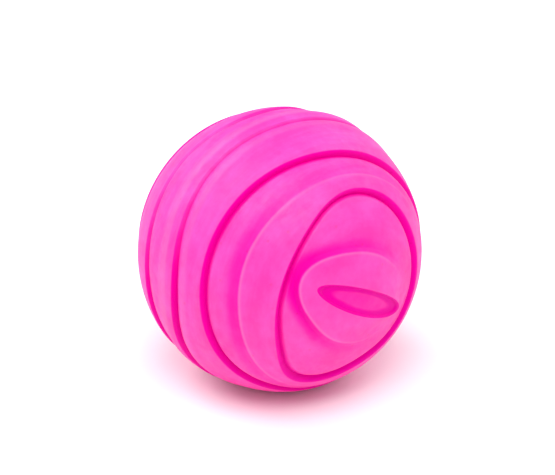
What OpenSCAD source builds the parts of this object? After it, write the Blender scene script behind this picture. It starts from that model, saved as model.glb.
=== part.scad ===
// Palm-sized exercise ball: a poured latex skin with a stepped relief, a springy
// filling, and a press-in squeaker that lets the air out and in as the ball is squeezed.
// The origin is the middle of the flat base, +Z is up, and the relief's eye faces -Y.

/* [Ball] */
// Mean radius of the ball, halfway up the relief's steps
ball_r = 32; // [26:0.5:40]
// Radius of the flat base that the ball stands on
base_r = 11; // [10:0.5:13]
// Mean thickness of the latex skin
skin_t = 2.6; // [2.2:0.1:4]
// Gap between the skin and the filling
filling_gap = 0.2; // [0.1:0.1:1]

/* [Relief] */
// Height of a full step of the relief
step_h = 1; // [0.4:0.1:1.2]
// Width of a step's wall, in degrees seen from the ball's centre
wall_deg = 1.2; // [0.8:0.1:2]
// Half length of the eye, in degrees
eye_long = 23.4; // [16:0.1:24.5]
// Half width of the eye, in degrees
eye_wide = 5.6; // [4:0.1:7]
// Direction of the eye's farther tip, in degrees from +X towards +Z
eye_turn = 152; // [145:1:160]
// How far the eye is moved towards its farther tip, in degrees
eye_shift = 1.6; // [1:0.1:3]
// How far the eye is moved across its long axis, upwards, in degrees
eye_lift = -0.3; // [-1:0.1:2]
// Height of the low swell on the upper right of the ball
swell_h = 0.7; // [0:0.1:1]

/* [Squeaker] */
// Diameter of the squeaker's flange
flange_d = 16; // [15:0.1:17]
// Thickness of the flange, which is also the floor under the reed block
flange_t = 1.5; // [1:0.1:2]
// Outer diameter of the squeaker's barrel
barrel_d = 12; // [11:0.1:13]
// Diameter of the bore that holds the reed block
chamber_d = 8; // [7:0.1:9]
// Diameter of the sound hole
sound_hole_d = 4; // [3:0.1:5]
// Height of the barrel's top above the base
barrel_top = 10.6; // [10.4:0.1:12]

/* [Reed] */
// Width of the reed
reed_w = 3; // [2.5:0.1:3.5]
// Thickness of the reed
reed_t = 0.25; // [0.2:0.01:0.3]
// Gap between the reed's tip and the floor of its chamber
tip_gap = 0.5; // [0.3:0.1:1]
// Diameter of the bead at the reed's root
bead_d = 0.9; // [0.8:0.05:1]
// Radial clearance of the bead in its socket
bead_gap = 0.05; // [0.03:0.01:0.1]

/* [Hidden] */

// Smoothness of the round parts
round_fn = 96;
small_fn = 48;
// How far a cut runs on past the part that it is taken from
past = 1;

// Ball
centre_z = sqrt(ball_r * ball_r - base_r * base_r);
cavity_r = ball_r - skin_t;
relief_sides = 72;
// The relief fades out round the base between these angles from straight down
fade_from = asin(base_r / ball_r);
fade_over = 12;

// Relief rings. Each list is a smooth closed line round the eye: its distance from the
// eye's axis in degrees, at every 30 degrees round that axis from +X towards +Z.
pad_edge = [23, 19, 19, 21, 26, 36, 25, 21, 19, 19, 20, 25];
fold_1 = [33, 37, 44, 47, 40, 38, 38, 40, 49, 34, 33, 32];
ridge = [45, 49, 52, 53, 54, 56, 53, 52, 51, 46, 43, 43];
fold_2 = [58, 58, 62, 64, 69, 71, 69, 66, 58, 56, 56, 57];
fold_3 = [82, 86, 87, 87, 91, 88, 82, 89, 87, 86, 84, 82];
fold_4 = [101, 103, 110, 102, 112, 110, 104, 103, 104, 105, 104, 102];
fold_5 = [122, 121, 120, 126, 137, 138, 133, 129, 123, 123, 126, 125];
fold_6 = [147, 143, 141, 144, 149, 152, 149, 143, 139, 141, 146, 149];

// Share of the full step that each line has at the same twelve places
pad_share = [0, 1, 4, 6, 8, 10, 10, 6, 3, 2, 1, 0] / 10;
ridge_share = [1, 2, 3, 2, 2, 7, 7, 4, 3, 2, 1, 0] / 20;
ripple_share = [1, 1, 1, 2, 2, 1, 1, 1, 1, 1, 1, 1] / 10;
fold_share = [10, 10, 10, 10, 10, 10, 10, 10, 10, 10, 10, 10] / 10;
fold_3_share = [5, 4, 5, 4, 3, 5, 10, 9, 10, 9, 8, 6] / 10;
fold_4_share = [8, 8, 8, 5, 3, 4, 8, 10, 9, 8, 8, 8] / 10;

// Heights from the mean radius, as shares of a full step
eye_floor = -0.6;
pad_top = 0.3;
ground = -0.35;
ridge_top = 0.45;
ripple_low = 0.2;
shoulder_top = 0.5;
hollow = -0.05;
// Widest slope down from the eye's edge to its floor, in degrees
eye_slope = 9.5;
// Width of the soft steps at the pad's edge and at the ridge, in degrees
soft_deg = 2.4;
// Places of the ripple's foot and crest, the shoulder and the hollow, in degrees
// from the third fold
ripple_foot_at = -10.5;
ripple_crest_at = -6;
shoulder_at = 5;
hollow_at = 12;
// Where the relief ends at the back of the ball, in degrees
back_end = 178;
// Middle of the swell, as distance and turn about the eye's axis, and its spread
swell_middle = [88, 47];
swell_spread = 30;

// Squeaker
flange_z = 0.3;
flange_gap = 0.1;
floor_z = flange_z + flange_t;
barb_d = barrel_d + 0.8;
barb_h = 1;
barb_z = [3.6, 6.1];
collar_t = 2.2;
collar_top = 8.6;
boss_r = base_r + 1;
boss_top = 4;
cap_t = 1;
cap_d = barrel_d + 2;
cap_skirt = 1.8;
cap_hole_d = 1.6;
cap_hole_pcd = 5.6;

// Reed block, clamp and reed
block_disc_t = 1.2;
block_face_z = floor_z + block_disc_t;
bead_z = barrel_top - 1.6;
reed_l = bead_z - block_face_z - tip_gap;
clamp_h = 2.4;
clamp_w = 4.8;
channel_w = 2.2;
channel_depth = 2;
channel_top = bead_z - 1.4;
seat_w = reed_w + 0.2;
seat_gap = 0.2;
clamp_recess = 0.25;
lay_deg = 5;
tip_r = 0.7;

// Smooth closed line through the twelve guides of a ring, read at one turn
function ring_at(guides, turn) =
    let(
        n = len(guides),
        place = turn / 360 * n,
        i = floor(place),
        t = place - i,
        a = guides[(i + n - 1) % n],
        b = guides[i % n],
        c = guides[(i + 1) % n],
        d = guides[(i + 2) % n]
    )
    (pow(1 - t, 3) * a + (3 * pow(t, 3) - 6 * t * t + 4) * b
        + (-3 * pow(t, 3) + 3 * t * t + 3 * t + 1) * c + pow(t, 3) * d) / 6;

// Distance at which a ray from the eye's axis meets the edge of the oval eye, which is
// moved along and across its long axis
function eye_at(turn) =
    let(
        along = cos(turn - eye_turn),
        across = sin(turn - eye_turn),
        a = pow(along / eye_long, 2) + pow(across / eye_wide, 2),
        b = along * eye_shift / pow(eye_long, 2) - across * eye_lift / pow(eye_wide, 2),
        c = 1 - pow(eye_shift / eye_long, 2) - pow(eye_lift / eye_wide, 2)
    )
    (b + sqrt(b * b + a * c)) / a;

// Points [distance, height] from one knot of the profile to just before the next
function run(from, to, count, bend = 1) =
    [for (k = [0:count - 1])
        let(t = k / count)
        [from[0] + (to[0] - from[0]) * t, from[1] + (to[1] - from[1]) * pow(t, bend)]];

// A sharp fold, as [foot, lip]: the outer side stands higher and faces the eye
function fold(guides, share, turn) =
    let(
        at = ring_at(guides, turn),
        rise = ring_at(share, turn) / 2
    )
    [[at - wall_deg / 2, -rise], [at + wall_deg / 2, rise]];

// The relief's profile at one turn, from the eye out to the back of the ball
function profile(turn) =
    let(
        eye = eye_at(turn),
        floor_edge = eye - min(0.5 * eye, eye_slope),
        pad = ring_at(pad_edge, turn),
        drop = ring_at(pad_share, turn),
        pad_rim = ground + drop,
        f1 = fold(fold_1, fold_share, turn),
        r = ring_at(ridge, turn),
        r_drop = ring_at(ridge_share, turn),
        f2 = fold(fold_2, fold_share, turn),
        third = ring_at(fold_3, turn),
        f3 = fold(fold_3, fold_3_share, turn),
        f4 = fold(fold_4, fold_4_share, turn),
        f5 = fold(fold_5, fold_share, turn),
        f6 = fold(fold_6, fold_share, turn),
        ripple_foot = [third + ripple_foot_at, ripple_low],
        ripple_crest = [third + ripple_crest_at, ripple_low + ring_at(ripple_share, turn)]
    )
    concat(
        run([floor_edge / 2, eye_floor], [floor_edge, eye_floor], 1),
        run([floor_edge, eye_floor], [eye, pad_top], 1),
        run([eye, pad_top], [pad, pad_rim], 4, 2),
        run([pad, pad_rim], [pad + soft_deg, ground], 1),
        run([pad + soft_deg, ground], f1[0], 3, 2),
        run(f1[0], f1[1], 1),
        run(f1[1], [r, ridge_top], 3, 2),
        run([r, ridge_top], [r + soft_deg, ridge_top - r_drop], 1),
        run([r + soft_deg, ridge_top - r_drop], f2[0], 3, 3),
        run(f2[0], f2[1], 1),
        run(f2[1], ripple_foot, 2),
        run(ripple_foot, ripple_crest, 1),
        run(ripple_crest, f3[0], 2, 3),
        run(f3[0], f3[1], 1),
        run(f3[1], [third + shoulder_at, shoulder_top], 1),
        run([third + shoulder_at, shoulder_top], [third + hollow_at, hollow], 2),
        run([third + hollow_at, hollow], f4[0], 2, 3),
        run(f4[0], f4[1], 1),
        run(f4[1], f5[0], 5, 3),
        run(f5[0], f5[1], 1),
        run(f5[1], f6[0], 5, 3),
        run(f6[0], f6[1], 1),
        run(f6[1], [back_end, 0], 6, 2)
    );

// Unit vector at a distance from the eye's axis and a turn round it
function pointing(distance, turn) =
    [sin(distance) * cos(turn), -cos(distance), sin(distance) * sin(turn)];

// How much of the relief is left near the base, from 0 to 1
function fade(direction) =
    let(
        from_down = acos(min(1, max(-1, -direction[2]))),
        t = min(1, max(0, (from_down - fade_from) / fade_over))
    )
    t * t * (3 - 2 * t);

// Height of the low swell in a direction
function swell(direction) =
    let(from_middle = acos(direction * pointing(swell_middle[0], swell_middle[1])))
    swell_h * exp(-pow(from_middle / swell_spread, 2));

// A point of the relief about the ball's centre
function relief_point(distance, height, turn) =
    let(direction = pointing(distance, turn))
    direction * (ball_r + (height * step_h + swell(direction)) * fade(direction));

// Outside of the ball, as one closed surface of rings round the eye
module relief_ball() {
    rows = [for (side = [0:relief_sides - 1])
        let(turn = side * 360 / relief_sides)
        [for (knot = profile(turn)) relief_point(knot[0], knot[1], turn)]];
    count = len(rows[0]);
    points = concat(
        [for (k = [0:count - 1]) for (side = [0:relief_sides - 1]) rows[side][k]],
        [[0, -(ball_r + eye_floor * step_h), 0], [0, ball_r, 0]]
    );
    front = count * relief_sides;
    back = front + 1;
    last = (count - 1) * relief_sides;
    faces = concat(
        [for (side = [0:relief_sides - 1]) [front, side, (side + 1) % relief_sides]],
        [for (k = [0:count - 2]) for (side = [0:relief_sides - 1])
            let(
                a = k * relief_sides + side,
                b = k * relief_sides + (side + 1) % relief_sides
            )
            each [[a, a + relief_sides, b], [b, a + relief_sides, b + relief_sides]]],
        [for (side = [0:relief_sides - 1])
            [back, last + (side + 1) % relief_sides, last + side]]
    );
    translate([0, 0, centre_z]) polyhedron(points, faces);
}

// Space inside the skin, with room left for the boss and collar round the squeaker
module cavity() {
    difference() {
        translate([0, 0, centre_z]) sphere(r = cavity_r, $fn = round_fn);
        cylinder(h = boss_top, r = boss_r, $fn = round_fn);
        cylinder(h = collar_top, d = barrel_d + 2 * collar_t, $fn = round_fn);
    }
}

// The barbs that hold the squeaker in the collar
module barbs() {
    for (z = barb_z)
        translate([0, 0, z]) cylinder(h = barb_h, d1 = barb_d, d2 = barrel_d, $fn = round_fn);
}

module ball_skin() {
    color("hotpink") difference() {
        intersection() {
            relief_ball();
            translate([-2 * ball_r, -2 * ball_r, 0]) cube(4 * ball_r);
        }
        cavity();
        translate([0, 0, -past])
            cylinder(h = past + floor_z, d = flange_d + 2 * flange_gap, $fn = round_fn);
        cylinder(h = collar_top + past, d = barrel_d, $fn = round_fn);
        barbs();
    }
}

module filling() {
    pocket_r = barrel_d / 2 + collar_t + filling_gap;
    color("white") difference() {
        translate([0, 0, centre_z]) sphere(r = cavity_r - filling_gap, $fn = round_fn);
        cylinder(h = boss_top + filling_gap, r = boss_r + filling_gap, $fn = round_fn);
        cylinder(h = barrel_top + cap_t + filling_gap, r = pocket_r, $fn = round_fn);
    }
}

module squeaker_housing() {
    color("ivory") difference() {
        union() {
            translate([0, 0, flange_z]) cylinder(h = flange_t, d = flange_d, $fn = round_fn);
            translate([0, 0, flange_z])
                cylinder(h = barrel_top - flange_z, d = barrel_d, $fn = round_fn);
            barbs();
        }
        translate([0, 0, floor_z]) cylinder(h = barrel_top, d = chamber_d, $fn = small_fn);
        cylinder(h = barrel_top, d = sound_hole_d, $fn = small_fn);
    }
}

module squeaker_grille() {
    color("ivory") difference() {
        translate([0, 0, barrel_top - cap_skirt])
            cylinder(h = cap_skirt + cap_t, d = cap_d, $fn = round_fn);
        translate([0, 0, barrel_top - 2 * cap_skirt])
            cylinder(h = 2 * cap_skirt, d = barrel_d, $fn = round_fn);
        translate([0, 0, barrel_top - past]) {
            cylinder(h = cap_t + 2 * past, d = cap_hole_d, $fn = small_fn);
            for (turn = [0:60:300])
                rotate([0, 0, turn]) translate([cap_hole_pcd / 2, 0, 0])
                    cylinder(h = cap_t + 2 * past, d = cap_hole_d, $fn = small_fn);
        }
    }
}

// Half of the chamber's inside, on the side that sign_y points to
module half_round(z, height, sign_y) {
    translate([0, 0, z]) intersection() {
        cylinder(h = height, d = chamber_d, $fn = small_fn);
        translate([-chamber_d, sign_y > 0 ? 0 : -chamber_d, 0])
            cube([2 * chamber_d, chamber_d, height]);
    }
}

// A rod along X, centred on the bead of the reed
module bead_rod(diameter, length) {
    translate([-length / 2, 0, bead_z]) rotate([0, 90, 0])
        cylinder(h = length, d = diameter, $fn = small_fn);
}

// Space in the block behind the reed, on the slope that the reed closes against
module lay_space() {
    drop = bead_z - block_face_z;
    translate([-seat_w / 2, 0, 0]) rotate([90, 0, 90])
        linear_extrude(height = seat_w)
            polygon([
                [past, bead_z],
                [-seat_gap, bead_z],
                [-seat_gap - drop * tan(lay_deg), block_face_z],
                [past, block_face_z]
            ]);
}

module reed_block() {
    color("gainsboro") difference() {
        union() {
            half_round(floor_z, barrel_top - floor_z, -1);
            translate([0, 0, floor_z])
                cylinder(h = block_disc_t, d = chamber_d, $fn = small_fn);
        }
        translate([-channel_w / 2, -channel_depth, floor_z - past])
            cube([channel_w, channel_depth, channel_top - floor_z + past]);
        lay_space();
        bead_rod(bead_d + 2 * bead_gap, seat_w);
    }
}

module reed_clamp() {
    color("gainsboro") difference() {
        intersection() {
            half_round(barrel_top - clamp_h, clamp_h, 1);
            translate([-clamp_w / 2, -past, 0]) cube([clamp_w, chamber_d, barrel_top]);
        }
        translate([-seat_w / 2, -past, barrel_top - clamp_h - past])
            cube([seat_w, past + clamp_recess, bead_z - barrel_top + clamp_h + past]);
        bead_rod(bead_d + 2 * bead_gap, seat_w);
    }
}

module reed() {
    color("deepskyblue") {
        bead_rod(bead_d, reed_w);
        translate([0, reed_t / 2, bead_z]) rotate([90, 0, 0])
            linear_extrude(height = reed_t) {
                translate([-reed_w / 2, tip_r - reed_l]) square([reed_w, reed_l - tip_r]);
                translate([tip_r - reed_w / 2, -reed_l]) square([reed_w - 2 * tip_r, tip_r]);
                for (side = [-1, 1])
                    translate([side * (reed_w / 2 - tip_r), tip_r - reed_l])
                        circle(r = tip_r, $fn = small_fn);
            }
    }
}

ball_skin();
filling();
squeaker_housing();
squeaker_grille();
reed_block();
reed_clamp();
reed();
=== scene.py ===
"""Looks of the hand exercise ball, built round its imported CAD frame.

The latex skin and the wadding are made here in mesh code. The squeaker's pieces keep
their CAD meshes and get materials. Lengths are in metres unless a name says otherwise.
"""

import math

import bmesh
import bpy
import numpy as np
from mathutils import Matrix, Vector, noise


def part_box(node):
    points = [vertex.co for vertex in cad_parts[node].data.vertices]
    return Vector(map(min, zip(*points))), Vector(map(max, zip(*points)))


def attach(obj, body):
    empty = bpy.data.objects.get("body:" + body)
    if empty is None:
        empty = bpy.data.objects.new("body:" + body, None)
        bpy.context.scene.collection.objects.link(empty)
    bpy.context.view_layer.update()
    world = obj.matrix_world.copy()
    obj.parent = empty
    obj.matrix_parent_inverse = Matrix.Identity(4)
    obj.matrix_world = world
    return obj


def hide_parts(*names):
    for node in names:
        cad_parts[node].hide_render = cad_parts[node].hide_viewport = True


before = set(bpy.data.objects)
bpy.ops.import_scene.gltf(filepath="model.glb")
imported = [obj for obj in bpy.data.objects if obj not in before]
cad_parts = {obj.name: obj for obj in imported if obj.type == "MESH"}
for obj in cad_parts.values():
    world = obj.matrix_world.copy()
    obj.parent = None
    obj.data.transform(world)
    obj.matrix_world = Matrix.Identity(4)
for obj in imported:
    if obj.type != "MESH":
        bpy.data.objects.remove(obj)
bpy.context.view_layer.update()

MM = 0.001

# ---------------------------------------------------------------- sizes of the ball
SKIN_T = 2.6 * MM
FILLING_GAP = 0.2 * MM
STEP_H = 1.0 * MM

fill_low, fill_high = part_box("filling")
CAVITY_R = (fill_high[0] - fill_low[0]) / 2 + FILLING_GAP
BALL_R = CAVITY_R + SKIN_T
CENTRE = Vector((0, 0, fill_high[2] + FILLING_GAP - CAVITY_R))
BASE_R = math.sqrt(BALL_R**2 - CENTRE.z**2)

# The relief fades out round the base: how far outside its edge, and over how many degrees
FADE_MARGIN = 1
FADE_FROM = math.degrees(math.asin(BASE_R / BALL_R)) + FADE_MARGIN
FADE_OVER = 12

# ---------------------------------------------------------------- lines of the relief
# Each list is a smooth closed line round the eye: its distance from the eye's axis in
# degrees, at every 30 degrees round that axis from +X towards +Z.
PAD_EDGE = [23, 19, 19, 21, 26, 36, 25, 21, 19, 19, 20, 25]
FOLD_1 = [33, 37, 44, 47, 40, 38, 38, 40, 49, 34, 33, 32]
RIDGE = [45, 49, 52, 53, 54, 56, 53, 52, 51, 46, 43, 43]
FOLD_2 = [58, 58, 62, 64, 69, 71, 69, 66, 58, 56, 56, 57]
FOLD_3 = [82, 86, 87, 87, 91, 88, 82, 89, 87, 86, 84, 82]
FOLD_4 = [101, 103, 110, 102, 112, 110, 104, 103, 104, 105, 104, 102]
FOLD_5 = [122, 121, 120, 126, 137, 138, 133, 129, 123, 123, 126, 125]
FOLD_6 = [147, 143, 141, 144, 149, 152, 149, 143, 139, 141, 146, 149]

# Tenths of the full step that a line has at the same twelve places
PAD_SHARE = [0, 1, 4, 6, 8, 10, 10, 6, 3, 2, 1, 0]
RIDGE_SHARE = [1, 2, 3, 2, 2, 7, 7, 4, 3, 2, 1, 0]
RIPPLE_SHARE = [1, 1, 1, 2, 2, 1, 1, 1, 1, 1, 1, 1]
FOLD_3_SHARE = [5, 4, 5, 4, 3, 5, 10, 9, 10, 9, 8, 6]
FOLD_4_SHARE = [8, 8, 8, 5, 3, 4, 8, 10, 9, 8, 8, 8]
# How wide the first fold is, in tenths of a usual fold, at the same twelve places
FOLD_1_WIDTH = [13, 13, 11, 8, 8, 8, 9, 11, 15, 15, 14, 14]

# The eye, in degrees: half length and half width, direction of its farther tip, how far
# it is moved towards that tip and across its long axis, and the width of its slope
EYE_LONG = 23.4
EYE_WIDE = 5.6
EYE_TURN = 152
EYE_SHIFT = 1.6
EYE_LIFT = -0.3
EYE_SLOPE = 9.5
# The slope is at most this share of the way to the eye's middle
EYE_SLOPE_SHARE = 0.5
# How far inside the eye's edge its bowl and the foot of its wall lie, as shares of the slope
BOWL_AT = 0.65
WALL_FOOT_AT = 0.25
# How far out the first row of points lies, as a share of the way to the slope
FIRST_ROW_AT = 0.1

# Heights from the mean radius, in full steps
EYE_MIDDLE = -0.5
EYE_FLOOR = -0.6
EYE_BOWL = -0.5
EYE_WALL_FOOT = -0.25
PAD_TOP = 0.3
GROUND = -0.35
RIDGE_TOP = 0.45
SHOULDER_TOP = 0.5
HOLLOW = -0.05
RIPPLE_FOOT = 0.2
# Height of the ridge's step where its share is full
RIDGE_H = 0.5

# Cross-section of a fold, in degrees: the groove on its inner side, then the wall
GROOVE_DEG = 2.2
WALL_IN = 0.7
WALL_OUT = 1.1
# How far the band above a groove stays over the groove's foot, and how far the foot lies
# below the mean of the fold, as shares of the fold's height
GROOVE_RIM = 0.35
GROOVE_FOOT = 0.85
# Width of the soft steps, and where the crest over one begins and ends before its line,
# in degrees
SOFT_DEG = 2.4
CREST_FROM = 1.6
CREST_TO = 0.4
# How far the ripple's foot and crest lie before the third fold, and the shoulder and the
# hollow behind it, in degrees
RIPPLE_FOOT_AT = 10.5
RIPPLE_CREST_AT = 6
SHOULDER_AT = 5
HOLLOW_AT = 12
# Least distance between two knots of the profile, in degrees
LEAST_RUN = 0.3

# Tints of painted light, as Profile describes them: 1 is the painted shade in a crease, 0 the
# face and below 0 a painted highlight; the eye's floor and wall and the hollow have painted shade,
# the crest, ripple and shoulder a painted highlight
EYE_FLOOR_SHADE = 0.5
EYE_WALL_SHADE = 1.15
CREST_HIGHLIGHT = -0.45
RIPPLE_HIGHLIGHT = -0.2
SHOULDER_HIGHLIGHT = -0.3
HOLLOW_SHADE = 0.1
# How fast a fold's crease and a soft step's crest take their full painted shade and painted
# highlight as they grow higher
CREASE_GAIN = 1.5
CREST_GAIN = 2
# Distance over which a crease's painted shade dies away on the band outside it, in degrees
TINT_DEG = 5
# Room between the pad's edge and the first fold, in degrees: up to the first the band
# between them keeps a crease's painted shade, and from the second it has the face's colour
MOAT_DARK = 5
MOAT_CLEAR = 10

# One low swell of the hand-poured ball: the distance and turn of its middle, its
# spread in degrees and its height
SWELL_DISTANCE = 88
SWELL_TURN = 47
SWELL_SPREAD = 30
SWELL_H = 0.7 * MM

# How many sides the relief has, and the base, collar and cavity inside it
SIDES = 360
INSIDE_SIDES = 120

# Where the relief ends at the back of the ball, in degrees
BACK_END = 179

# Rounding at the outer edge of the flat base: its height, and the radius of its corner
BASE_ROUND_H = 0.35 * MM
BASE_ROUND_R = 0.6 * MM


# ---------------------------------------------------------------- shapes of a slope
# Height at a share t of the way, itself as a share of the whole rise
def straight(t):
    return t


def bowed(t):
    """Level at first, then falling faster, as the top of a shingle does."""
    return t**3


def lipped(t):
    """Steep at the foot and rounded over at the lip."""
    return 1 - (1 - t) ** 2.2


def soft(t):
    """Rounded at both ends."""
    return t * t * (3 - 2 * t)


# The same for a change of tint, which also takes the length of the way in degrees
def evenly(t, length):
    return soft(t)


def part_way(start, end):
    """A change of tint between two shares of the way."""
    return lambda t, length: soft(np.clip((t - start) / (end - start), 0, 1))


def soon(t, length):
    """Changes within a few degrees, then stays."""
    return soft(np.clip(t * length / TINT_DEG, 0, 1))


at_once = part_way(0, 0.3)
late = part_way(0.7, 1)
at_last = part_way(0.85, 1)


def ring_at(guides, turns):
    """A smooth closed line through twelve guides, read at an array of turns in degrees."""
    count = len(guides)
    place = turns / 360 * count
    i = np.floor(place).astype(int)
    t = place - i
    g = np.asarray(guides, dtype=float)
    a, b, c, d = (g[(i + k) % count] for k in (-1, 0, 1, 2))
    return (
        (1 - t) ** 3 * a
        + (3 * t**3 - 6 * t**2 + 4) * b
        + (-3 * t**3 + 3 * t**2 + 3 * t + 1) * c
        + t**3 * d
    ) / 6


def share_at(tenths, turns):
    """As ring_at, for a list that is in tenths."""
    return ring_at(tenths, turns) / 10


def eye_at(turns):
    """Distance at which a ray from the eye's axis meets the edge of the oval eye."""
    along = np.cos(np.radians(turns - EYE_TURN))
    across = np.sin(np.radians(turns - EYE_TURN))
    a = (along / EYE_LONG) ** 2 + (across / EYE_WIDE) ** 2
    b = along * EYE_SHIFT / EYE_LONG**2 - across * EYE_LIFT / EYE_WIDE**2
    c = 1 - (EYE_SHIFT / EYE_LONG) ** 2 - (EYE_LIFT / EYE_WIDE) ** 2
    return (b + np.sqrt(b * b + a * c)) / a


# ---------------------------------------------------------------- profile of the relief
class Profile:
    """Rows of the relief from the eye outwards: distance, height and tint.

    A tint of 1 is the painted shade of a crease, one of up to 2 is darker painted shade still, and
    a tint below 0 is the painted highlight of a crest.
    """

    def __init__(self, distance, height, tint):
        self.rows = []
        self.knot = (distance, height, tint)

    def run(self, distance, height, rows, shape=straight, tint=0, tinting=evenly):
        """Adds rows of points on the way to the next knot."""
        at, low, shade = self.knot
        distance = np.maximum(distance, at + LEAST_RUN)
        for k in range(rows):
            t = k / rows
            row = (
                at + (distance - at) * t,
                low + (height - low) * shape(t),
                shade + (tint - shade) * tinting(t, distance - at),
            )
            self.rows.append(np.broadcast_arrays(*row))
        self.knot = (distance, height, tint)

    def fold(self, at, share, rows, width=1, band_shade=0):
        """A band that falls outwards, then the groove and the wall that stands over it, with
        painted shade in the groove and on the wall's lower part.
        """
        painted_shade = np.minimum(1, CREASE_GAIN * share**2)
        foot = at - WALL_IN * width
        groove = foot - GROOVE_DEG * width
        self.run(groove, (GROOVE_RIM - 0.5) * share, rows, bowed, band_shade, soon)
        self.run(foot, -GROOVE_FOOT * share, rows=6, shape=soft, tint=painted_shade)
        self.run(at + WALL_OUT * width, share / 2, rows=8, shape=lipped, tinting=late)

    def soft_step(self, at, drop, painted_shade, top, rows):
        """A band up to a crest with a painted highlight, then a soft step down on its outer side
        with painted shade at its foot.
        """
        highlight = CREST_HIGHLIGHT * np.minimum(1, CREST_GAIN * painted_shade)
        self.run(at - CREST_FROM, top, rows, soft, tinting=soon)
        self.run(at - CREST_TO, top, rows=3, tint=highlight)
        self.run(at + SOFT_DEG, top - drop, rows=7, shape=soft, tint=painted_shade, tinting=at_once)


def narrowed(share):
    """Width of a fold that is lower than a full step: down to half the usual width."""
    return 0.5 + 0.5 * share


def relief_profile(turns):
    """The whole profile, from the middle of the eye to the back of the ball."""
    eye = eye_at(turns)
    slope = np.minimum(EYE_SLOPE_SHARE * eye, EYE_SLOPE)
    pad_share = share_at(PAD_SHARE, turns)
    ridge_share = share_at(RIDGE_SHARE, turns)
    pad_edge = ring_at(PAD_EDGE, turns)
    first = ring_at(FOLD_1, turns)
    third = ring_at(FOLD_3, turns)
    third_share = share_at(FOLD_3_SHARE, turns)
    ripple_top = RIPPLE_FOOT + share_at(RIPPLE_SHARE, turns)
    fourth_share = share_at(FOLD_4_SHARE, turns)
    # Painted shade kept on the band between the pad's edge and the first fold where it is narrow
    room = (first - pad_edge - MOAT_DARK) / (MOAT_CLEAR - MOAT_DARK)
    moat_shade = 1 - soft(np.clip(room, 0, 1))

    # Painted shade on the eye's floor, darker still at the foot of its wall
    p = Profile(FIRST_ROW_AT * (eye - slope), EYE_MIDDLE, EYE_FLOOR_SHADE)
    p.run(eye - slope, EYE_FLOOR, rows=6, shape=soft, tint=EYE_FLOOR_SHADE)
    p.run(eye - BOWL_AT * slope, EYE_BOWL, rows=5, shape=soft, tint=1)
    p.run(eye - WALL_FOOT_AT * slope, EYE_WALL_FOOT, rows=4, tint=EYE_WALL_SHADE)
    p.run(eye, PAD_TOP, rows=8, shape=lipped, tinting=at_last)
    p.soft_step(pad_edge, pad_share, pad_share, GROUND + pad_share, rows=10)
    p.fold(first, 1, rows=10, width=share_at(FOLD_1_WIDTH, turns), band_shade=moat_shade)
    p.soft_step(ring_at(RIDGE, turns), RIDGE_H * ridge_share, ridge_share, RIDGE_TOP, rows=8)
    p.fold(ring_at(FOLD_2, turns), 1, rows=10)
    p.run(third - RIPPLE_FOOT_AT, RIPPLE_FOOT, rows=6, shape=soft)
    # Painted highlight on the ripple's crest
    p.run(third - RIPPLE_CREST_AT, ripple_top, rows=6, shape=soft, tint=RIPPLE_HIGHLIGHT, tinting=late)
    p.fold(third, third_share, rows=8, width=narrowed(third_share))
    # Painted highlight on the shoulder behind the third fold
    p.run(third + SHOULDER_AT, SHOULDER_TOP, rows=6, shape=soft, tint=SHOULDER_HIGHLIGHT, tinting=late)
    # Painted shade in the hollow
    p.run(third + HOLLOW_AT, HOLLOW, rows=8, shape=soft, tint=HOLLOW_SHADE)
    p.fold(ring_at(FOLD_4, turns), fourth_share, rows=8, width=narrowed(fourth_share))
    p.fold(ring_at(FOLD_5, turns), 1, rows=14)
    p.fold(ring_at(FOLD_6, turns), 1, rows=14)
    p.run(BACK_END, 0, rows=12, shape=soft)
    return p.rows


def relief_points():
    """Points of the outer surface about the ball's centre, and their tint of painted shade and
    painted highlight.
    """
    turns = np.arange(SIDES) * 360 / SIDES
    rows = relief_profile(turns)
    distance, height, tint = (np.array([r[k] for r in rows]) for k in range(3))
    directions = pointing(distance, turns)
    from_down = np.degrees(np.arccos(np.clip(-directions[..., 2], -1, 1)))
    fade = soft(np.clip((from_down - FADE_FROM) / FADE_OVER, 0, 1))
    swell_way = pointing(np.array(SWELL_DISTANCE), np.array(SWELL_TURN))
    from_swell = np.degrees(np.arccos(np.clip(directions @ swell_way, -1, 1)))
    swell = SWELL_H * np.exp(-((from_swell / SWELL_SPREAD) ** 2))
    radius = BALL_R + (height * STEP_H + swell) * fade
    return directions * radius[..., None], tint * fade


def pointing(distance, turn):
    """Unit vectors at a distance from the eye's axis and a turn round it, in degrees."""
    away = np.radians(distance)
    turn = np.radians(turn)
    return np.stack(
        [np.sin(away) * np.cos(turn), -np.cos(away) + 0 * turn, np.sin(away) * np.sin(turn)],
        axis=-1,
    )


# ---------------------------------------------------------------- mesh helpers
def new_object(name, mesh):
    made = bpy.data.objects.new(name, mesh)
    bpy.context.scene.collection.objects.link(made)
    return made


def add_tube(bm, outline, first_ring=None):
    """Revolves an outline of (radius, height) points about Z and returns its last ring."""
    ring = first_ring
    turns = [2 * math.pi * k / INSIDE_SIDES for k in range(INSIDE_SIDES)]
    for radius, height in outline:
        fresh = [
            bm.verts.new((radius * math.cos(a), radius * math.sin(a), height)) for a in turns
        ]
        if ring is not None:
            for k in range(INSIDE_SIDES):
                n = (k + 1) % INSIDE_SIDES
                bm.faces.new((ring[k], ring[n], fresh[n], fresh[k]))
        ring = fresh
    return ring


def rounded(corner, before, after, radius, count=4):
    """Points of a rounded corner between two straight stretches of an outline."""
    c = Vector(corner)
    a = c + (Vector(before) - c).normalized() * radius
    b = c + (Vector(after) - c).normalized() * radius
    shares = [k / count for k in range(count + 1)]
    return [tuple((1 - t) ** 2 * a + 2 * t * (1 - t) * c + t * t * b) for t in shares]


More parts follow.
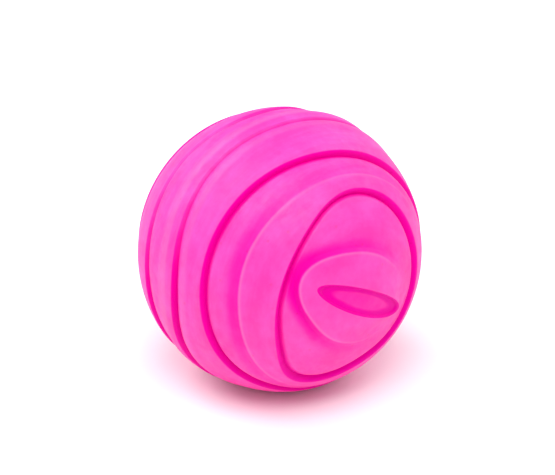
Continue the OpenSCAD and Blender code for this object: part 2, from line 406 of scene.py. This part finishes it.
# ---------------------------------------------------------------- latex skin
# Sizes of the recess, collar and boss round the squeaker
FLANGE_T = 1.5 * MM
FLANGE_GAP = 0.1 * MM
GRILLE_WALL = 1 * MM
COLLAR_T = 2.2 * MM
COLLAR_TOP = 8.6 * MM
BOSS_RIM = 1 * MM
BOSS_TOP = 4 * MM
CAVITY_STEPS = 40


def skin_inside_outline():
    """Outline of the base, the squeaker's recess and bore, the collar and the cavity."""
    flange_low, flange_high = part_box("squeaker_housing")
    grille_low, grille_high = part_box("squeaker_grille")
    recess_r = (flange_high[0] - flange_low[0]) / 2 + FLANGE_GAP
    recess_top = flange_low[2] + FLANGE_T
    bore_r = (grille_high[0] - grille_low[0]) / 2 - GRILLE_WALL
    collar_r = bore_r + COLLAR_T
    boss_r = BASE_R + BOSS_RIM
    cavity_start = math.asin(boss_r / CAVITY_R)
    edge = 0.3 * MM

    outline = rounded((recess_r, 0), (BASE_R, 0), (recess_r, recess_top), edge)
    outline += [(recess_r, recess_top), (bore_r + edge, recess_top), (bore_r, recess_top + edge)]
    outline += [(bore_r, COLLAR_TOP - edge), (bore_r + edge, COLLAR_TOP)]
    outline += rounded((collar_r, COLLAR_TOP), (bore_r, COLLAR_TOP), (collar_r, BOSS_TOP), 2 * edge)
    outline += rounded((collar_r, BOSS_TOP), (collar_r, COLLAR_TOP), (boss_r, BOSS_TOP), 3 * edge)
    outline += [(boss_r - edge, BOSS_TOP), (boss_r, BOSS_TOP - edge)]
    for k in range(CAVITY_STEPS):
        angle = cavity_start + (math.pi - cavity_start) * k / CAVITY_STEPS
        outline.append((CAVITY_R * math.sin(angle), CENTRE.z - CAVITY_R * math.cos(angle)))
    return outline


def make_skin():
    """The latex skin: relief outside, flat base, and the space for filling and squeaker."""
    points, tint = relief_points()
    count = len(points)
    bm = bmesh.new()
    # The crease attribute holds each point's painted shade and painted highlight
    crease = bm.verts.layers.float.new("crease")
    grid = []
    for row, shades in zip(points, tint):
        line = []
        for place, shade in zip(row, shades):
            vert = bm.verts.new(Vector(place) + CENTRE)
            vert[crease] = shade
            line.append(vert)
        grid.append(line)
    front = bm.verts.new(CENTRE + Vector((0, -BALL_R - EYE_MIDDLE * STEP_H, 0)))
    front[crease] = EYE_FLOOR_SHADE
    back = bm.verts.new(CENTRE + Vector((0, BALL_R, 0)))
    for k in range(SIDES):
        n = (k + 1) % SIDES
        bm.faces.new((front, grid[0][k], grid[0][n]))
        bm.faces.new((back, grid[-1][n], grid[-1][k]))
        for r in range(count - 1):
            bm.faces.new((grid[r][k], grid[r + 1][k], grid[r + 1][n], grid[r][n]))

    everything = bm.verts[:] + bm.edges[:] + bm.faces[:]
    bmesh.ops.bisect_plane(
        bm,
        geom=everything,
        dist=1e-8,
        plane_co=(0, 0, BASE_ROUND_H),
        plane_no=(0, 0, -1),
        clear_outer=True,
    )
    rim = [e for e in bm.edges if e.is_boundary]
    cut_r = math.sqrt(BALL_R**2 - (CENTRE.z - BASE_ROUND_H) ** 2)
    base_edge = rounded((BASE_R, 0), (cut_r, BASE_ROUND_H), (0, 0), BASE_ROUND_R, 5)
    first = add_tube(bm, base_edge[:1])
    loop = [
        bm.edges.new((first[k], first[(k + 1) % INSIDE_SIDES])) for k in range(INSIDE_SIDES)
    ]
    bmesh.ops.bridge_loops(bm, edges=rim + loop)
    last = add_tube(bm, base_edge[1:] + skin_inside_outline(), first)
    top = bm.verts.new((0, 0, CENTRE.z + CAVITY_R))
    for k in range(INSIDE_SIDES):
        bm.faces.new((last[k], last[(k + 1) % INSIDE_SIDES], top))
    bmesh.ops.recalc_face_normals(bm, faces=bm.faces[:])
    mesh = bpy.data.meshes.new("latex_skin")
    bm.to_mesh(mesh)
    bm.free()
    mesh.shade_smooth()
    mesh.set_sharp_from_angle(angle=math.radians(60))
    return new_object("latex_skin", mesh)


# ---------------------------------------------------------------- wadding
# How far the tufts stand out from the wadding's mean surface, how close they lie, and how
# their smaller and smaller folds add up: roughness, ratio of sizes and number
TUFT_H = 0.45 * MM
TUFT_SCALE = 4
TUFT_FOLDS = (0.9, 2.2, 4)
# Room between the grille and the wadding's pocket round it
POCKET_GAP = 1.5 * MM


def make_wadding():
    """The filling: a packed ball of fibre tufts with a pocket for the squeaker."""
    bm = bmesh.new()
    bmesh.ops.create_icosphere(bm, subdivisions=6, radius=1)
    grille_low, grille_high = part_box("squeaker_grille")
    pocket_r = (grille_high[0] - grille_low[0]) / 2 + POCKET_GAP
    pocket_top = grille_high[2] + FILLING_GAP
    radius = CAVITY_R - FILLING_GAP - TUFT_H
    boss_r = BASE_R + BOSS_RIM + FILLING_GAP
    boss_top = BOSS_TOP + FILLING_GAP
    for vert in bm.verts:
        way = vert.co.normalized()
        tuft = noise.fractal(way * TUFT_SCALE, *TUFT_FOLDS)
        vert.co = CENTRE + way * (radius + TUFT_H * max(-1, min(1, tuft)))
        out = math.hypot(vert.co.x, vert.co.y)
        if out < pocket_r:
            vert.co.z = max(vert.co.z, pocket_top)
        elif out < boss_r:
            vert.co.z = max(vert.co.z, boss_top)
    mesh = bpy.data.meshes.new("wadding")
    bm.to_mesh(mesh)
    bm.free()
    mesh.shade_smooth()
    return new_object("wadding", mesh)


# ---------------------------------------------------------------- materials
WHITE = (1.0, 1.0, 1.0)


class Nodes:
    """Short names for building a node material."""

    def __init__(self, name):
        self.material = bpy.data.materials.new(name)
        self.material.use_nodes = True
        self.tree = self.material.node_tree
        self.shader = self.tree.nodes["Principled BSDF"]
        self.place = self.tree.nodes.new("ShaderNodeTexCoord").outputs["Object"]

    def link(self, source, target):
        self.tree.links.new(source, target)

    def noise(self, scale, detail=4, rough=0.5, place=None):
        """Clouds through space, from 0 to 1."""
        node = self.tree.nodes.new("ShaderNodeTexNoise")
        node.inputs["Scale"].default_value = scale
        node.inputs["Detail"].default_value = detail
        node.inputs["Roughness"].default_value = rough
        self.link(place or self.place, node.inputs["Vector"])
        return node.outputs["Fac"]

    def stretched(self, x, y, z):
        """The place of a point with each of its coordinates scaled."""
        node = self.tree.nodes.new("ShaderNodeMapping")
        node.inputs["Scale"].default_value = (x, y, z)
        self.link(self.place, node.inputs["Vector"])
        return node.outputs["Vector"]

    def dots(self, scale, size):
        """1 in small round dots scattered through space, and 0 between them."""
        node = self.tree.nodes.new("ShaderNodeTexVoronoi")
        node.inputs["Scale"].default_value = scale
        node.inputs["Randomness"].default_value = 1
        self.link(self.place, node.inputs["Vector"])
        return self.ramp(node.outputs["Distance"], [(size * 0.6, 1), (size, 0)])

    def ramp(self, source, stops):
        """A grey or a colour that changes between stops of the source."""
        node = self.tree.nodes.new("ShaderNodeValToRGB")
        elements = node.color_ramp.elements
        for k, (where, value) in enumerate(stops):
            element = elements[k] if k < 2 else elements.new(where)
            element.position = where
            colour = value if isinstance(value, tuple) else (value, value, value)
            element.color = (*colour, 1)
        self.link(source, node.inputs["Fac"])
        return node.outputs["Color"]

    def mix(self, factor, a, b):
        """The colour that lies a factor of the way from a to b."""
        node = self.tree.nodes.new("ShaderNodeMix")
        node.data_type = "RGBA"
        for value, socket in ((factor, 0), (a, 6), (b, 7)):
            if isinstance(value, bpy.types.NodeSocket):
                self.link(value, node.inputs[socket])
            elif isinstance(value, tuple):
                node.inputs[socket].default_value = (*value, 1)
            else:
                node.inputs[socket].default_value = value
        return node.outputs[2]

    def math(self, operation, a, b):
        node = self.tree.nodes.new("ShaderNodeMath")
        node.operation = operation
        for value, socket in ((a, 0), (b, 1)):
            if isinstance(value, bpy.types.NodeSocket):
                self.link(value, node.inputs[socket])
            else:
                node.inputs[socket].default_value = value
        return node.outputs[0]

    def attribute(self, name):
        node = self.tree.nodes.new("ShaderNodeAttribute")
        node.attribute_name = name
        return node.outputs["Fac"]

    def bump(self, height, strength, distance):
        node = self.tree.nodes.new("ShaderNodeBump")
        node.inputs["Strength"].default_value = strength
        node.inputs["Distance"].default_value = distance
        self.link(height, node.inputs["Height"])
        self.link(node.outputs["Normal"], self.shader.inputs["Normal"])

    def set(self, **values):
        """Sets the shader's inputs; an underscore stands for a space in a name."""
        for name, value in values.items():
            self.shader.inputs[name.replace("_", " ")].default_value = value


# Colours of the latex: its face where it is deepest and palest, the painted shade of a crease
# and the darker painted shade at the foot of the eye's wall, the painted highlight of a crest,
# and the painted shade in a pit
FACE_DEEP = (0.93, 0.0, 0.33)
FACE_PALE = (0.985, 0.035, 0.43)
CREASE_SHADE_COLOUR = (0.75, 0.0, 0.31)
DARKEST_SHADE_COLOUR = (0.65, 0.0, 0.22)
CREST_HIGHLIGHT_COLOUR = (0.97, 0.13, 0.42)
PIT_SHADE_COLOUR = (0.60, 0.0, 0.18)
# Strength of the gloss on the face and in a crease, and its tint there: the weaker, pink-tinted
# gloss in a crease is painted shade on the reflection
FACE_GLOSS = 0.75
CREASE_SHADED_GLOSS = 0.2
CREASE_SHADED_GLOSS_TINT = (1.0, 0.0, 0.5)


def latex_material():
    """Matte pink latex with painted shade in the creases and painted highlights on the crests, with
    mottling, pits and fine grain.
    """
    m = Nodes("pink_latex")
    mottle = m.noise(140, detail=7, rough=0.7)
    streaks = m.noise(170, detail=7, rough=0.65, place=m.stretched(0.25, 1.8, 0.25))
    clouding = m.math("MULTIPLY", m.math("ADD", mottle, streaks), 0.5)
    face = m.ramp(clouding, [(0.42, FACE_DEEP), (0.60, FACE_PALE)])
    tint = m.attribute("crease")
    # Painted shade: a deeper pink in the creases
    painted_shade = m.math("MAXIMUM", tint, 0)
    colour = m.mix(painted_shade, face, CREASE_SHADE_COLOUR)
    # Darker painted shade where the tint passes 1, at the foot of the eye's wall
    colour = m.mix(m.math("SUBTRACT", painted_shade, 1), colour, DARKEST_SHADE_COLOUR)
    # Painted shade on the gloss: weaker and tinted pink in the creases
    m.link(m.mix(painted_shade, WHITE, CREASE_SHADED_GLOSS_TINT), m.shader.inputs["Specular Tint"])
    gloss = m.ramp(painted_shade, [(0, FACE_GLOSS), (1, CREASE_SHADED_GLOSS)])
    m.link(gloss, m.shader.inputs["Specular IOR Level"])
    # Painted highlight: a paler pink on the crests
    crest = m.math("MAXIMUM", m.math("MULTIPLY", tint, -1), 0)
    colour = m.mix(crest, colour, CREST_HIGHLIGHT_COLOUR)
    # Painted shade: a darker pink in the small pits
    pits = m.dots(260, 0.10)
    colour = m.mix(m.math("MULTIPLY", pits, 0.35), colour, PIT_SHADE_COLOUR)
    m.link(colour, m.shader.inputs["Base Color"])
    rough = m.ramp(m.noise(600, detail=3), [(0.3, 0.52), (0.7, 0.66)])
    m.link(rough, m.shader.inputs["Roughness"])
    grain = m.noise(2500, rough=0.6)
    swell = m.noise(350, detail=3)
    height = m.math("ADD", m.math("MULTIPLY", grain, 0.35), swell)
    height = m.math("SUBTRACT", height, m.math("MULTIPLY", pits, 0.8))
    m.bump(height, strength=0.45, distance=0.05 * MM)
    m.set(Subsurface_Weight=0.15, Subsurface_Scale=1.0 * MM, Subsurface_Radius=(1.0, 0.25, 0.5))
    return m.material


def wadding_material():
    """White fibre wadding with fine crossing strands."""
    m = Nodes("white_wadding")
    strands = m.noise(1800, detail=8, rough=0.75)
    colour = m.ramp(strands, [(0.3, (0.72, 0.72, 0.70)), (0.7, (0.93, 0.93, 0.92))])
    m.link(colour, m.shader.inputs["Base Color"])
    m.bump(strands, strength=0.8, distance=0.3 * MM)
    m.set(Roughness=0.95, Sheen_Weight=0.4, Sheen_Roughness=0.6)
    return m.material


def plastic_material(name, light, dark, rough, clear=0.0):
    """Moulded plastic: faint flow clouding, and a fine spark-eroded grain."""
    m = Nodes(name)
    m.link(m.ramp(m.noise(220), [(0.3, dark), (0.7, light)]), m.shader.inputs["Base Color"])
    clouded = m.ramp(m.noise(900, detail=3), [(0.3, rough), (0.7, rough + 0.08)])
    m.link(clouded, m.shader.inputs["Roughness"])
    m.bump(m.noise(4000, detail=3), strength=0.15, distance=0.02 * MM)
    m.set(Transmission_Weight=clear)
    return m.material


def floor_material():
    """Matte, nearly white paper."""
    m = Nodes("pale_floor")
    m.set(Base_Color=(0.92, 0.92, 0.92, 1), Roughness=0.9, Specular_IOR_Level=0.0)
    return m.material


# ---------------------------------------------------------------- camera, floor, light
CAMERA_AZIMUTH = -37.5
CAMERA_ELEVATION = 27.5
CAMERA_DISTANCE = 0.6
# How far the rings' tops stand out from the mean radius
RINGS_RISE = 0.4 * STEP_H
# The ball's diameter as a share of the picture's width, and how far its middle lies
# right of and below the picture's middle, as shares of the same width
BALL_SPAN = 0.5135
BALL_RIGHT = 0.0032
BALL_BELOW = 0.0214

# Strength of the even white dome, and of the backdrop that the camera sees
DOME_LIGHT = 0.5
BACKDROP = 0.95
FLOOR_R = 3
# Lamps: azimuth and elevation in degrees, distance and size in metres, and watts
LAMPS = [
    ("overhead", -37, 65, 1.2, 0.9, 10.5),
    ("left_front", -97, 40, 1.2, 0.9, 1.5),
    ("left_rear", -157, 40, 1.2, 0.9, 7.5),
    ("right_front", 22, 40, 1.2, 0.9, 1.8),
    ("right_rear", 95, 35, 1.2, 0.9, 4.5),
]


def direction_to(azimuth, elevation):
    """Unit vector at an azimuth, in degrees from -Y towards +X, and an elevation."""
    a, e = math.radians(azimuth), math.radians(elevation)
    return Vector((math.sin(a) * math.cos(e), -math.cos(a) * math.cos(e), math.sin(e)))


def make_camera():
    back = direction_to(CAMERA_AZIMUTH, CAMERA_ELEVATION)
    right = direction_to(CAMERA_AZIMUTH + 90, 0)
    up = back.cross(right)
    silhouette = math.tan(math.asin((BALL_R + RINGS_RISE) / CAMERA_DISTANCE))
    width = 2 * silhouette * CAMERA_DISTANCE / BALL_SPAN
    data = bpy.data.cameras.new("camera")
    data.lens = data.sensor_width * CAMERA_DISTANCE / width
    data.clip_start, data.clip_end = 0.01, 20
    camera = new_object("camera", data)
    aim = CENTRE + (up * BALL_BELOW - right * BALL_RIGHT) * width
    camera.location = CENTRE + back * CAMERA_DISTANCE
    camera.rotation_mode = "QUATERNION"
    camera.rotation_quaternion = (aim - camera.location).to_track_quat("-Z", "Y")
    bpy.context.scene.camera = camera


def make_floor():
    bm = bmesh.new()
    bmesh.ops.create_circle(bm, cap_ends=True, segments=96, radius=FLOOR_R)
    mesh = bpy.data.meshes.new("floor")
    bm.to_mesh(mesh)
    bm.free()
    floor = new_object("floor", mesh)
    mesh.materials.append(floor_material())


def make_light(name, azimuth, elevation, distance, size, power):
    way = direction_to(azimuth, elevation)
    data = bpy.data.lights.new(name, "AREA")
    data.shape = "DISK"
    data.size = size
    data.energy = power
    lamp = new_object(name, data)
    lamp.location = CENTRE + way * distance
    lamp.rotation_mode = "QUATERNION"
    lamp.rotation_quaternion = (-way).to_track_quat("-Z", "Y")


def make_studio():
    """An even dome, five soft lamps and a plain white backdrop."""
    scene = bpy.context.scene
    scene.view_settings.view_transform = "Standard"
    scene.view_settings.look = "None"
    world = bpy.data.worlds.new("studio")
    world.use_nodes = True
    tree = world.node_tree
    seen = tree.nodes.new("ShaderNodeMapRange")
    seen.inputs["To Min"].default_value = DOME_LIGHT
    seen.inputs["To Max"].default_value = BACKDROP
    camera_ray = tree.nodes.new("ShaderNodeLightPath").outputs["Is Camera Ray"]
    tree.links.new(camera_ray, seen.inputs["Value"])
    tree.links.new(seen.outputs[0], tree.nodes["Background"].inputs["Strength"])
    tree.nodes["Background"].inputs["Color"].default_value = (*WHITE, 1)
    scene.world = world
    for name, *placing in LAMPS:
        make_light(name, *placing)


# ---------------------------------------------------------------- putting it together
make_camera()
make_floor()
make_studio()

skin = make_skin()
skin.data.materials.append(latex_material())
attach(skin, "ball")
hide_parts("ball_skin")

wadding = make_wadding()
wadding.data.materials.append(wadding_material())
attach(wadding, "ball")
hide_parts("filling")

housing_plastic = plastic_material("housing_plastic", (0.90, 0.88, 0.82), (0.84, 0.82, 0.76), 0.32)
block_plastic = plastic_material("block_plastic", (0.74, 0.76, 0.78), (0.68, 0.70, 0.72), 0.36)
reed_plastic = plastic_material("reed_plastic", (0.36, 0.62, 0.82), (0.30, 0.55, 0.76), 0.22, 0.3)
NODE_MATERIALS = {
    "squeaker_housing": housing_plastic,
    "squeaker_grille": housing_plastic,
    "reed_block": block_plastic,
    "reed_clamp": block_plastic,
    "reed": reed_plastic,
}
for node, material in NODE_MATERIALS.items():
    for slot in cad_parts[node].material_slots:
        slot.material = material
